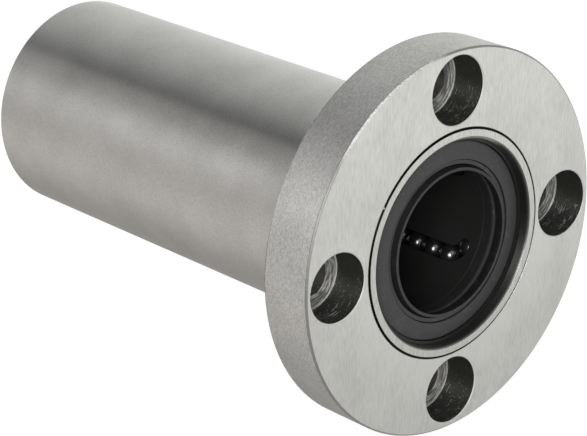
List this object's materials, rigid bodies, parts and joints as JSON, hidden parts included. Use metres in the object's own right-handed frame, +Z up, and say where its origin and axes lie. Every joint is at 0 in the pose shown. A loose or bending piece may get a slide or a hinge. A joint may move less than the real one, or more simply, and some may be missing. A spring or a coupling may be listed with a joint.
{
  "type": "linear ball bearing",
  "caption": "Long linear ball bearing for a 20 mm shaft, with a round counterbored flange and a seal at each end.",
  "frame": {"origin": "on the shaft's axis, in the plane of the flange's rear seating face", "axes": "+Y along the shaft from the flange to the tail, +Z up through a bolt hole, +X to the right when the front face is looked at"},
  "size_m": [0.054, 0.08, 0.054],
  "materials": {
    "ground_steel": "satin ground",
    "polished_balls": "polished",
    "cage_resin": "matte",
    "seal_rubber": "matte",
    "black_spring_steel": "black oxide"
  },
  "bodies": {
    "bearing": {"outer_cylinder": "ground_steel", "flange": "ground_steel", "front_retainer": "cage_resin", "rear_retainer": "cage_resin", "front_seal": "seal_rubber", "rear_seal": "seal_rubber", "front_end_ring": "black_spring_steel", "rear_end_ring": "black_spring_steel"},
    "front_circuit_1_loaded": {"front_circuit_1_loaded_balls": "polished_balls"},
    "front_circuit_1_return": {"front_circuit_1_return_balls": "polished_balls"},
    "front_circuit_1_outboard_turn": {"front_circuit_1_outboard_turn_balls": "polished_balls"},
    "front_circuit_1_inboard_turn": {"front_circuit_1_inboard_turn_balls": "polished_balls"},
    "front_circuit_2_loaded": {"front_circuit_2_loaded_balls": "polished_balls"},
    "front_circuit_2_return": {"front_circuit_2_return_balls": "polished_balls"},
    "front_circuit_2_outboard_turn": {"front_circuit_2_outboard_turn_balls": "polished_balls"},
    "front_circuit_2_inboard_turn": {"front_circuit_2_inboard_turn_balls": "polished_balls"},
    "front_circuit_3_loaded": {"front_circuit_3_loaded_balls": "polished_balls"},
    "front_circuit_3_return": {"front_circuit_3_return_balls": "polished_balls"},
    "front_circuit_3_outboard_turn": {"front_circuit_3_outboard_turn_balls": "polished_balls"},
    "front_circuit_3_inboard_turn": {"front_circuit_3_inboard_turn_balls": "polished_balls"},
    "front_circuit_4_loaded": {"front_circuit_4_loaded_balls": "polished_balls"},
    "front_circuit_4_return": {"front_circuit_4_return_balls": "polished_balls"},
    "front_circuit_4_outboard_turn": {"front_circuit_4_outboard_turn_balls": "polished_balls"},
    "front_circuit_4_inboard_turn": {"front_circuit_4_inboard_turn_balls": "polished_balls"},
    "front_circuit_5_loaded": {"front_circuit_5_loaded_balls": "polished_balls"},
    "front_circuit_5_return": {"front_circuit_5_return_balls": "polished_balls"},
    "front_circuit_5_outboard_turn": {"front_circuit_5_outboard_turn_balls": "polished_balls"},
    "front_circuit_5_inboard_turn": {"front_circuit_5_inboard_turn_balls": "polished_balls"},
    "rear_circuit_1_loaded": {"rear_circuit_1_loaded_balls": "polished_balls"},
    "rear_circuit_1_return": {"rear_circuit_1_return_balls": "polished_balls"},
    "rear_circuit_1_outboard_turn": {"rear_circuit_1_outboard_turn_balls": "polished_balls"},
    "rear_circuit_1_inboard_turn": {"rear_circuit_1_inboard_turn_balls": "polished_balls"},
    "rear_circuit_2_loaded": {"rear_circuit_2_loaded_balls": "polished_balls"},
    "rear_circuit_2_return": {"rear_circuit_2_return_balls": "polished_balls"},
    "rear_circuit_2_outboard_turn": {"rear_circuit_2_outboard_turn_balls": "polished_balls"},
    "rear_circuit_2_inboard_turn": {"rear_circuit_2_inboard_turn_balls": "polished_balls"},
    "rear_circuit_3_loaded": {"rear_circuit_3_loaded_balls": "polished_balls"},
    "rear_circuit_3_return": {"rear_circuit_3_return_balls": "polished_balls"},
    "rear_circuit_3_outboard_turn": {"rear_circuit_3_outboard_turn_balls": "polished_balls"},
    "rear_circuit_3_inboard_turn": {"rear_circuit_3_inboard_turn_balls": "polished_balls"},
    "rear_circuit_4_loaded": {"rear_circuit_4_loaded_balls": "polished_balls"},
    "rear_circuit_4_return": {"rear_circuit_4_return_balls": "polished_balls"},
    "rear_circuit_4_outboard_turn": {"rear_circuit_4_outboard_turn_balls": "polished_balls"},
    "rear_circuit_4_inboard_turn": {"rear_circuit_4_inboard_turn_balls": "polished_balls"},
    "rear_circuit_5_loaded": {"rear_circuit_5_loaded_balls": "polished_balls"},
    "rear_circuit_5_return": {"rear_circuit_5_return_balls": "polished_balls"},
    "rear_circuit_5_outboard_turn": {"rear_circuit_5_outboard_turn_balls": "polished_balls"},
    "rear_circuit_5_inboard_turn": {"rear_circuit_5_inboard_turn_balls": "polished_balls"}
  },
  "joints": [
    {"name": "front_circuit_1_circulation", "type": "slide", "parent": "bearing", "child": "front_circuit_1_loaded", "axis": [0, 1, 0], "range_m": [0, 0.00318]},
    {"name": "front_circuit_1_return_slide", "type": "slide", "parent": "bearing", "child": "front_circuit_1_return", "axis": [0, 1, 0], "range_m": [-0.00318, 0]},
    {"name": "front_circuit_1_outboard_turn_swing", "type": "hinge", "parent": "bearing", "child": "front_circuit_1_outboard_turn", "pos_m": [0.00844, 0.00104, 0.00846], "axis": [0.8628, 0, 0.5056], "range_deg": [0, 82.94]},
    {"name": "front_circuit_1_inboard_turn_swing", "type": "hinge", "parent": "bearing", "child": "front_circuit_1_inboard_turn", "pos_m": [0.00844, 0.02714, 0.00846], "axis": [0.8628, 0, 0.5056], "range_deg": [0, 82.94]},
    {"name": "front_circuit_2_circulation", "type": "slide", "parent": "bearing", "child": "front_circuit_2_loaded", "axis": [0, 1, 0], "range_m": [0, 0.00318]},
    {"name": "front_circuit_2_return_slide", "type": "slide", "parent": "bearing", "child": "front_circuit_2_return", "axis": [0, 1, 0], "range_m": [-0.00318, 0]},
    {"name": "front_circuit_2_outboard_turn_swing", "type": "hinge", "parent": "bearing", "child": "front_circuit_2_outboard_turn", "pos_m": [-0.00544, 0.00104, 0.01064], "axis": [-0.2143, 0, 0.9768], "range_deg": [0, 82.94]},
    {"name": "front_circuit_2_inboard_turn_swing", "type": "hinge", "parent": "bearing", "child": "front_circuit_2_inboard_turn", "pos_m": [-0.00544, 0.02714, 0.01064], "axis": [-0.2143, 0, 0.9768], "range_deg": [0, 82.94]},
    {"name": "front_circuit_3_circulation", "type": "slide", "parent": "bearing", "child": "front_circuit_3_loaded", "axis": [0, 1, 0], "range_m": [0, 0.00318]},
    {"name": "front_circuit_3_return_slide", "type": "slide", "parent": "bearing", "child": "front_circuit_3_return", "axis": [0, 1, 0], "range_m": [-0.00318, 0]},
    {"name": "front_circuit_3_outboard_turn_swing", "type": "hinge", "parent": "bearing", "child": "front_circuit_3_outboard_turn", "pos_m": [-0.0118, 0.00104, -0.00189], "axis": [-0.9952, 0, 0.0981], "range_deg": [0, 82.94]},
    {"name": "front_circuit_3_inboard_turn_swing", "type": "hinge", "parent": "bearing", "child": "front_circuit_3_inboard_turn", "pos_m": [-0.0118, 0.02714, -0.00189], "axis": [-0.9952, 0, 0.0981], "range_deg": [0, 82.94]},
    {"name": "front_circuit_4_circulation", "type": "slide", "parent": "bearing", "child": "front_circuit_4_loaded", "axis": [0, 1, 0], "range_m": [0, 0.00318]},
    {"name": "front_circuit_4_return_slide", "type": "slide", "parent": "bearing", "child": "front_circuit_4_return", "axis": [0, 1, 0], "range_m": [-0.00318, 0]},
    {"name": "front_circuit_4_outboard_turn_swing", "type": "hinge", "parent": "bearing", "child": "front_circuit_4_outboard_turn", "pos_m": [-0.00185, 0.00104, -0.0118], "axis": [-0.4008, 0, -0.9162], "range_deg": [0, 82.94]},
    {"name": "front_circuit_4_inboard_turn_swing", "type": "hinge", "parent": "bearing", "child": "front_circuit_4_inboard_turn", "pos_m": [-0.00185, 0.02714, -0.0118], "axis": [-0.4008, 0, -0.9162], "range_deg": [0, 82.94]},
    {"name": "front_circuit_5_circulation", "type": "slide", "parent": "bearing", "child": "front_circuit_5_loaded", "axis": [0, 1, 0], "range_m": [0, 0.00318]},
    {"name": "front_circuit_5_return_slide", "type": "slide", "parent": "bearing", "child": "front_circuit_5_return", "axis": [0, 1, 0], "range_m": [-0.00318, 0]},
    {"name": "front_circuit_5_outboard_turn_swing", "type": "hinge", "parent": "bearing", "child": "front_circuit_5_outboard_turn", "pos_m": [0.01065, 0.00104, -0.00541], "axis": [0.7475, 0, -0.6643], "range_deg": [0, 82.94]},
    {"name": "front_circuit_5_inboard_turn_swing", "type": "hinge", "parent": "bearing", "child": "front_circuit_5_inboard_turn", "pos_m": [0.01065, 0.02714, -0.00541], "axis": [0.7475, 0, -0.6643], "range_deg": [0, 82.94]},
    {"name": "rear_circuit_1_circulation", "type": "slide", "parent": "bearing", "child": "rear_circuit_1_loaded", "axis": [0, -1, 0], "range_m": [0, 0.00318]},
    {"name": "rear_circuit_1_return_slide", "type": "slide", "parent": "bearing", "child": "rear_circuit_1_return", "axis": [0, -1, 0], "range_m": [-0.00318, 0]},
    {"name": "rear_circuit_1_outboard_turn_swing", "type": "hinge", "parent": "bearing", "child": "rear_circuit_1_outboard_turn", "pos_m": [0.01092, 0.06276, 0.00484], "axis": [0.7812, 0, 0.6243], "range_deg": [0, 82.94]},
    {"name": "rear_circuit_1_inboard_turn_swing", "type": "hinge", "parent": "bearing", "child": "rear_circuit_1_inboard_turn", "pos_m": [0.01092, 0.03666, 0.00484], "axis": [0.7812, 0, 0.6243], "range_deg": [0, 82.94]},
    {"name": "rear_circuit_2_circulation", "type": "slide", "parent": "bearing", "child": "rear_circuit_2_loaded", "axis": [0, -1, 0], "range_m": [0, 0.00318]},
    {"name": "rear_circuit_2_return_slide", "type": "slide", "parent": "bearing", "child": "rear_circuit_2_return", "axis": [0, -1, 0], "range_m": [-0.00318, 0]},
    {"name": "rear_circuit_2_outboard_turn_swing", "type": "hinge", "parent": "bearing", "child": "rear_circuit_2_outboard_turn", "pos_m": [-0.00123, 0.06276, 0.01189], "axis": [-0.3523, 0, 0.9359], "range_deg": [0, 82.94]},
    {"name": "rear_circuit_2_inboard_turn_swing", "type": "hinge", "parent": "bearing", "child": "rear_circuit_2_inboard_turn", "pos_m": [-0.00123, 0.03666, 0.01189], "axis": [-0.3523, 0, 0.9359], "range_deg": [0, 82.94]},
    {"name": "rear_circuit_3_circulation", "type": "slide", "parent": "bearing", "child": "rear_circuit_3_loaded", "axis": [0, -1, 0], "range_m": [0, 0.00318]},
    {"name": "rear_circuit_3_return_slide", "type": "slide", "parent": "bearing", "child": "rear_circuit_3_return", "axis": [0, -1, 0], "range_m": [-0.00318, 0]},
    {"name": "rear_circuit_3_outboard_turn_swing", "type": "hinge", "parent": "bearing", "child": "rear_circuit_3_outboard_turn", "pos_m": [-0.01168, 0.06276, 0.0025], "axis": [-0.9989, 0, -0.0459], "range_deg": [0, 82.94]},
    {"name": "rear_circuit_3_inboard_turn_swing", "type": "hinge", "parent": "bearing", "child": "rear_circuit_3_inboard_turn", "pos_m": [-0.01168, 0.03666, 0.0025], "axis": [-0.9989, 0, -0.0459], "range_deg": [0, 82.94]},
    {"name": "rear_circuit_4_circulation", "type": "slide", "parent": "bearing", "child": "rear_circuit_4_loaded", "axis": [0, -1, 0], "range_m": [0, 0.00318]},
    {"name": "rear_circuit_4_return_slide", "type": "slide", "parent": "bearing", "child": "rear_circuit_4_return", "axis": [0, -1, 0], "range_m": [-0.00318, 0]},
    {"name": "rear_circuit_4_outboard_turn_swing", "type": "hinge", "parent": "bearing", "child": "rear_circuit_4_outboard_turn", "pos_m": [-0.00599, 0.06276, -0.01034], "axis": [-0.2651, 0, -0.9642], "range_deg": [0, 82.94]},
    {"name": "rear_circuit_4_inboard_turn_swing", "type": "hinge", "parent": "bearing", "child": "rear_circuit_4_inboard_turn", "pos_m": [-0.00599, 0.03666, -0.01034], "axis": [-0.2651, 0, -0.9642], "range_deg": [0, 82.94]},
    {"name": "rear_circuit_5_circulation", "type": "slide", "parent": "bearing", "child": "rear_circuit_5_loaded", "axis": [0, -1, 0], "range_m": [0, 0.00318]},
    {"name": "rear_circuit_5_return_slide", "type": "slide", "parent": "bearing", "child": "rear_circuit_5_return", "axis": [0, -1, 0], "range_m": [-0.00318, 0]},
    {"name": "rear_circuit_5_outboard_turn_swing", "type": "hinge", "parent": "bearing", "child": "rear_circuit_5_outboard_turn", "pos_m": [0.00798, 0.06276, -0.00889], "axis": [0.8351, 0, -0.5501], "range_deg": [0, 82.94]},
    {"name": "rear_circuit_5_inboard_turn_swing", "type": "hinge", "parent": "bearing", "child": "rear_circuit_5_inboard_turn", "pos_m": [0.00798, 0.03666, -0.00889], "axis": [0.8351, 0, -0.5501], "range_deg": [0, 82.94]}
  ],
  "couplings": [
    {"joint": "front_circuit_1_return_slide", "follows": "front_circuit_1_circulation", "ratio": -1},
    {"joint": "front_circuit_1_outboard_turn_swing", "follows": "front_circuit_1_circulation", "rad_per_m": 454.49},
    {"joint": "front_circuit_1_inboard_turn_swing", "follows": "front_circuit_1_circulation", "rad_per_m": 454.49},
    {"joint": "front_circuit_2_return_slide", "follows": "front_circuit_2_circulation", "ratio": -1},
    {"joint": "front_circuit_2_outboard_turn_swing", "follows": "front_circuit_2_circulation", "rad_per_m": 454.49},
    {"joint": "front_circuit_2_inboard_turn_swing", "follows": "front_circuit_2_circulation", "rad_per_m": 454.49},
    {"joint": "front_circuit_3_return_slide", "follows": "front_circuit_3_circulation", "ratio": -1},
    {"joint": "front_circuit_3_outboard_turn_swing", "follows": "front_circuit_3_circulation", "rad_per_m": 454.49},
    {"joint": "front_circuit_3_inboard_turn_swing", "follows": "front_circuit_3_circulation", "rad_per_m": 454.49},
    {"joint": "front_circuit_4_return_slide", "follows": "front_circuit_4_circulation", "ratio": -1},
    {"joint": "front_circuit_4_outboard_turn_swing", "follows": "front_circuit_4_circulation", "rad_per_m": 454.49},
    {"joint": "front_circuit_4_inboard_turn_swing", "follows": "front_circuit_4_circulation", "rad_per_m": 454.49},
    {"joint": "front_circuit_5_return_slide", "follows": "front_circuit_5_circulation", "ratio": -1},
    {"joint": "front_circuit_5_outboard_turn_swing", "follows": "front_circuit_5_circulation", "rad_per_m": 454.49},
    {"joint": "front_circuit_5_inboard_turn_swing", "follows": "front_circuit_5_circulation", "rad_per_m": 454.49},
    {"joint": "rear_circuit_1_return_slide", "follows": "rear_circuit_1_circulation", "ratio": -1},
    {"joint": "rear_circuit_1_outboard_turn_swing", "follows": "rear_circuit_1_circulation", "rad_per_m": 454.49},
    {"joint": "rear_circuit_1_inboard_turn_swing", "follows": "rear_circuit_1_circulation", "rad_per_m": 454.49},
    {"joint": "rear_circuit_2_return_slide", "follows": "rear_circuit_2_circulation", "ratio": -1},
    {"joint": "rear_circuit_2_outboard_turn_swing", "follows": "rear_circuit_2_circulation", "rad_per_m": 454.49},
    {"joint": "rear_circuit_2_inboard_turn_swing", "follows": "rear_circuit_2_circulation", "rad_per_m": 454.49},
    {"joint": "rear_circuit_3_return_slide", "follows": "rear_circuit_3_circulation", "ratio": -1},
    {"joint": "rear_circuit_3_outboard_turn_swing", "follows": "rear_circuit_3_circulation", "rad_per_m": 454.49},
    {"joint": "rear_circuit_3_inboard_turn_swing", "follows": "rear_circuit_3_circulation", "rad_per_m": 454.49},
    {"joint": "rear_circuit_4_return_slide", "follows": "rear_circuit_4_circulation", "ratio": -1},
    {"joint": "rear_circuit_4_outboard_turn_swing", "follows": "rear_circuit_4_circulation", "rad_per_m": 454.49},
    {"joint": "rear_circuit_4_inboard_turn_swing", "follows": "rear_circuit_4_circulation", "rad_per_m": 454.49},
    {"joint": "rear_circuit_5_return_slide", "follows": "rear_circuit_5_circulation", "ratio": -1},
    {"joint": "rear_circuit_5_outboard_turn_swing", "follows": "rear_circuit_5_circulation", "rad_per_m": 454.49},
    {"joint": "rear_circuit_5_inboard_turn_swing", "follows": "rear_circuit_5_circulation", "rad_per_m": 454.49}
  ]
}
